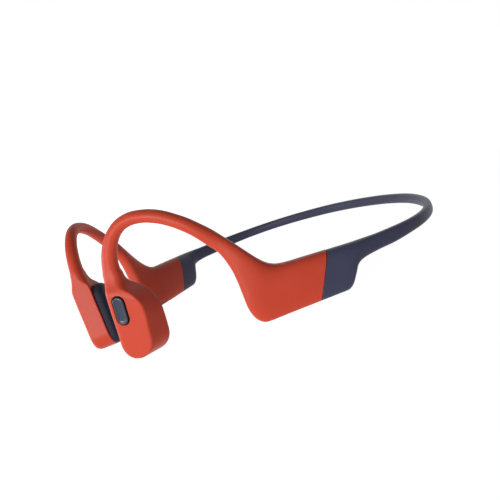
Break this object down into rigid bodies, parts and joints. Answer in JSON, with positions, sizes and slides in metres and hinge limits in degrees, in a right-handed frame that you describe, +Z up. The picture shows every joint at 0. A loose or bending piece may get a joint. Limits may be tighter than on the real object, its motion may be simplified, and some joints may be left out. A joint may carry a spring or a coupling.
{
  "type": "bone conduction headphones",
  "caption": "Open-ear bone conduction headphones: a sprung neckband, a housing behind each ear, and ear hooks that end in vibrating pods that rest on the cheekbones.",
  "frame": {"origin": "centre of the bounding box, on the table the headphones rest on", "axes": "+X towards the wearer's left ear, -Y forward to the pods, +Z up"},
  "size_m": [0.1364, 0.1281, 0.0471],
  "materials": {
    "navy_silicone": "satin silicone",
    "titanium_wire": "drawn titanium wire",
    "orange_silicone": "satin silicone",
    "skin_pad": "matte silicone",
    "button": "satin silicone",
    "copper_coil": "enamelled copper",
    "magnet": "nickel plated",
    "spring_steel": "rolled",
    "yoke_steel": "satin",
    "circuit_board": "solder mask",
    "black_plastic": "matte",
    "gold_contacts": "gold plated",
    "battery_foil": "foil",
    "shield_can": "tinned",
    "clear_plastic": "clear"
  },
  "bodies": {
    "rear_band": {"neckband_rear": "navy_silicone", "band_wire_rear": "titanium_wire"},
    "left_arm": {"band_wire_left": "titanium_wire", "battery_board": "circuit_board", "battery_cell": "battery_foil", "button_board": "circuit_board", "button_switch": "black_plastic", "left_ear_hook": "orange_silicone", "left_hook_wire": "titanium_wire", "left_housing_inner": "orange_silicone", "left_housing_outer": "orange_silicone", "left_microphone": "shield_can", "left_pod_pad": "skin_pad", "left_pod_shell": "orange_silicone", "left_suspension_spring": "spring_steel", "left_transducer_frame": "yoke_steel", "left_transducer_magnet": "magnet", "left_vibration_plate": "yoke_steel", "left_voice_coil": "copper_coil", "neckband_left": "navy_silicone"},
    "right_arm": {"band_wire_right": "titanium_wire", "charge_contacts": "gold_contacts", "charge_port_base": "black_plastic", "main_board": "circuit_board", "neckband_right": "navy_silicone", "processor_chip": "black_plastic", "radio_module": "shield_can", "right_ear_hook": "orange_silicone", "right_hook_wire": "titanium_wire", "right_housing_inner": "orange_silicone", "right_housing_outer": "orange_silicone", "right_microphone": "shield_can", "right_pod_pad": "skin_pad", "right_pod_shell": "orange_silicone", "right_suspension_spring": "spring_steel", "right_transducer_frame": "yoke_steel", "right_transducer_magnet": "magnet", "right_vibration_plate": "yoke_steel", "right_voice_coil": "copper_coil", "status_light_pipe": "clear_plastic", "volume_switch_board": "circuit_board"},
    "multifunction_button": {"multifunction_button": "button"},
    "volume_up_button": {"volume_up_button": "button"},
    "volume_down_button": {"volume_down_button": "button"}
  },
  "joints": [
    {"name": "left_arm_flex", "type": "hinge", "parent": "rear_band", "child": "left_arm", "pos_m": [0.022, 0.06109, 0.00992], "axis": [0, 0, 1], "range_deg": [-3, 22], "stiffness_Nm_per_rad": 0.3},
    {"name": "right_arm_flex", "type": "hinge", "parent": "rear_band", "child": "right_arm", "pos_m": [-0.022, 0.06109, 0.00992], "axis": [0, 0, -1], "range_deg": [-3, 22], "stiffness_Nm_per_rad": 0.3},
    {"name": "multifunction_press", "type": "slide", "parent": "left_arm", "child": "multifunction_button", "axis": [-0.6267, 0.7775, 0.0523], "range_m": [0, 0.0004], "stiffness_N_per_m": 800, "springref_m": -0.0005},
    {"name": "volume_up_press", "type": "slide", "parent": "right_arm", "child": "volume_up_button", "axis": [0, 0, 1], "range_m": [0, 0.0003], "stiffness_N_per_m": 800, "springref_m": -0.0005},
    {"name": "volume_down_press", "type": "slide", "parent": "right_arm", "child": "volume_down_button", "axis": [0, 0, 1], "range_m": [0, 0.0003], "stiffness_N_per_m": 800, "springref_m": -0.0005}
  ]
}
